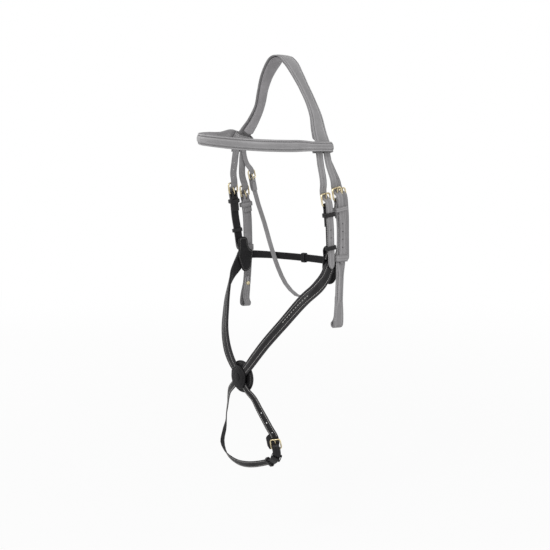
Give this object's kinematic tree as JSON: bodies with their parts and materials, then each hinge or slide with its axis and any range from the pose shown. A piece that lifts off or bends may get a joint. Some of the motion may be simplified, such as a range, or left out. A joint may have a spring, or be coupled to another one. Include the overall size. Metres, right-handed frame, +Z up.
{
  "type": "figure eight bridle",
  "caption": "Leather figure eight bridle with padded crown, browband, buckled cheekpieces, throat strap and crossed noseband held by a round disc on the nose.",
  "frame": {"origin": "middle of the underside of the padded crown, where it rests on the horse's poll", "axes": "+Z up along the hanging bridle, -Y the way the horse looks, +X the horse's left, which is the near side"},
  "size_m": [0.2751, 0.2231, 0.718],
  "materials": {
    "grey_leather": "smooth bridle leather, mid grey, satin",
    "black_leather": "smooth black bridle leather, satin",
    "lining_leather": "soft grey lining leather over padding, matt",
    "brass": "polished dull brass"
  },
  "bodies": {
    "headpiece": {"crown_outer": "grey_leather", "crown_lining": "lining_leather"},
    "browband": {"browband_front": "grey_leather", "browband_lining": "lining_leather", "near_browband_loop": "grey_leather", "far_browband_loop": "grey_leather"},
    "noseband": {"near_noseband_billet": "grey_leather", "near_noseband_frame": "brass", "near_noseband_fixed_keeper": "black_leather", "near_hanger": "black_leather", "near_junction": "black_leather", "near_nose_strap": "black_leather", "far_noseband_billet": "grey_leather", "far_noseband_frame": "brass", "far_noseband_fixed_keeper": "black_leather", "far_hanger": "black_leather", "far_junction": "black_leather", "far_nose_strap": "black_leather", "nose_disc": "black_leather", "nose_disc_pad": "black_leather", "nose_disc_rivet": "black_leather"},
    "throat": {"throat_strap": "grey_leather", "near_throat_billet": "grey_leather", "near_throat_frame": "brass", "far_throat_billet": "grey_leather", "far_throat_frame": "brass"},
    "chin": {"near_lower_billet": "black_leather", "chin_strap": "black_leather", "chin_frame": "brass", "chin_fixed_keeper": "black_leather", "chin_buckle_safe": "black_leather"},
    "jaw": {"jaw_billet": "black_leather", "jaw_strap": "black_leather", "jaw_frame": "brass", "jaw_fixed_keeper": "black_leather"},
    "near_cheek": {"near_cheekpiece": "grey_leather", "near_hook_stud": "brass", "near_cheek_billet": "grey_leather", "near_cheek_frame": "brass", "near_cheek_fixed_keeper": "grey_leather"},
    "far_cheek": {"far_cheekpiece": "grey_leather", "far_hook_stud": "brass", "far_cheek_billet": "grey_leather", "far_cheek_frame": "brass", "far_cheek_fixed_keeper": "grey_leather"},
    "chin_runner": {"chin_runner": "black_leather"},
    "chin_tongue": {"chin_tongue": "brass"},
    "far_cheek_runner": {"far_cheek_runner": "grey_leather"},
    "far_cheek_tongue": {"far_cheek_tongue": "brass"},
    "far_noseband_runner": {"far_noseband_runner": "black_leather"},
    "far_noseband_tongue": {"far_noseband_tongue": "brass"},
    "far_throat_tongue": {"far_throat_tongue": "brass"},
    "jaw_runner": {"jaw_runner": "black_leather"},
    "jaw_tongue": {"jaw_tongue": "brass"},
    "near_cheek_runner": {"near_cheek_runner": "grey_leather"},
    "near_cheek_tongue": {"near_cheek_tongue": "brass"},
    "near_noseband_runner": {"near_noseband_runner": "black_leather"},
    "near_noseband_tongue": {"near_noseband_tongue": "brass"},
    "near_throat_tongue": {"near_throat_tongue": "brass"}
  },
  "joints": [
    {"name": "browband_slide", "type": "slide", "parent": "headpiece", "child": "browband", "axis": [0, 0, 1], "range_m": [-0.0006, 0.0006]},
    {"name": "near_cheek_swing", "type": "hinge", "parent": "headpiece", "child": "near_cheek", "pos_m": [0.1155, -0.004, -0.15], "axis": [1, 0, 0], "range_deg": [0, 8]},
    {"name": "far_cheek_swing", "type": "hinge", "parent": "headpiece", "child": "far_cheek", "pos_m": [-0.1155, -0.004, -0.15], "axis": [1, 0, 0], "range_deg": [0, 8]},
    {"name": "noseband_swing", "type": "hinge", "parent": "headpiece", "child": "noseband", "pos_m": [0, -0.02, -0.15], "axis": [1, 0, 0], "range_deg": [-2.5, 0]},
    {"name": "throat_swing", "type": "hinge", "parent": "headpiece", "child": "throat", "pos_m": [0, -0.004, -0.15], "axis": [1, 0, 0], "range_deg": [-1.5, 1.5]},
    {"name": "chin_swing", "type": "hinge", "parent": "noseband", "child": "chin", "pos_m": [0, -0.0955, -0.5395], "axis": [0, 1, 0], "range_deg": [-6, 6]},
    {"name": "jaw_swing", "type": "hinge", "parent": "noseband", "child": "jaw", "pos_m": [0, 0.0108, -0.3435], "axis": [1, 0, 0], "range_deg": [-20, 9]},
    {"name": "chin_runner_slide", "type": "slide", "parent": "chin", "child": "chin_runner", "axis": [0.9251, -0.0874, 0.3696], "range_m": [-0.003, 0.003]},
    {"name": "chin_tongue_lift", "type": "hinge", "parent": "chin", "child": "chin_tongue", "pos_m": [0.07484, -0.07434, -0.6525], "axis": [0.7692, 0.613, 0.1804], "range_deg": [0, 4]},
    {"name": "far_cheek_runner_slide", "type": "slide", "parent": "far_cheek", "child": "far_cheek_runner", "axis": [-0.0469, 0.0206, 0.9987], "range_m": [-0.012, 0.004]},
    {"name": "far_cheek_tongue_lift", "type": "hinge", "parent": "far_cheek", "child": "far_cheek_tongue", "pos_m": [-0.12894, 0.01063, -0.2345], "axis": [0, -0.9829, -0.1841], "range_deg": [0, 4]},
    {"name": "far_noseband_runner_slide", "type": "slide", "parent": "noseband", "child": "far_noseband_runner", "axis": [-0.0893, -0.1267, 0.9879], "range_m": [-0.004, 0.003]},
    {"name": "far_noseband_tongue_lift", "type": "hinge", "parent": "noseband", "child": "far_noseband_tongue", "pos_m": [-0.12813, -0.01663, -0.2285], "axis": [0, -0.9816, -0.1912], "range_deg": [0, 4]},
    {"name": "far_throat_tongue_lift", "type": "hinge", "parent": "throat", "child": "far_throat_tongue", "pos_m": [-0.117, 0.019, -0.2025], "axis": [0, -0.9703, -0.2419], "range_deg": [0, 4]},
    {"name": "jaw_runner_slide", "type": "slide", "parent": "jaw", "child": "jaw_runner", "axis": [0.9974, 0.0722, 0.0006], "range_m": [-0.006, 0.006]},
    {"name": "jaw_tongue_lift", "type": "hinge", "parent": "jaw", "child": "jaw_tongue", "pos_m": [0.07522, 0.06, -0.34614], "axis": [-0.0152, 0.0074, 0.9999], "range_deg": [0, 4]},
    {"name": "near_cheek_runner_slide", "type": "slide", "parent": "near_cheek", "child": "near_cheek_runner", "axis": [0.0469, 0.0206, 0.9987], "range_m": [-0.012, 0.004]},
    {"name": "near_cheek_tongue_lift", "type": "hinge", "parent": "near_cheek", "child": "near_cheek_tongue", "pos_m": [0.12894, 0.01063, -0.2345], "axis": [0, 0.9829, 0.1841], "range_deg": [0, 4]},
    {"name": "near_noseband_runner_slide", "type": "slide", "parent": "noseband", "child": "near_noseband_runner", "axis": [0.0648, -0.1073, 0.9921], "range_m": [-0.002, 0.003]},
    {"name": "near_noseband_tongue_lift", "type": "hinge", "parent": "noseband", "child": "near_noseband_tongue", "pos_m": [0.12933, -0.0139, -0.2435], "axis": [0, 0.9896, 0.1441], "range_deg": [0, 4]},
    {"name": "near_throat_tongue_lift", "type": "hinge", "parent": "throat", "child": "near_throat_tongue", "pos_m": [0.117, 0.033, -0.2325], "axis": [0, 0.9691, 0.2466], "range_deg": [0, 4]}
  ]
}
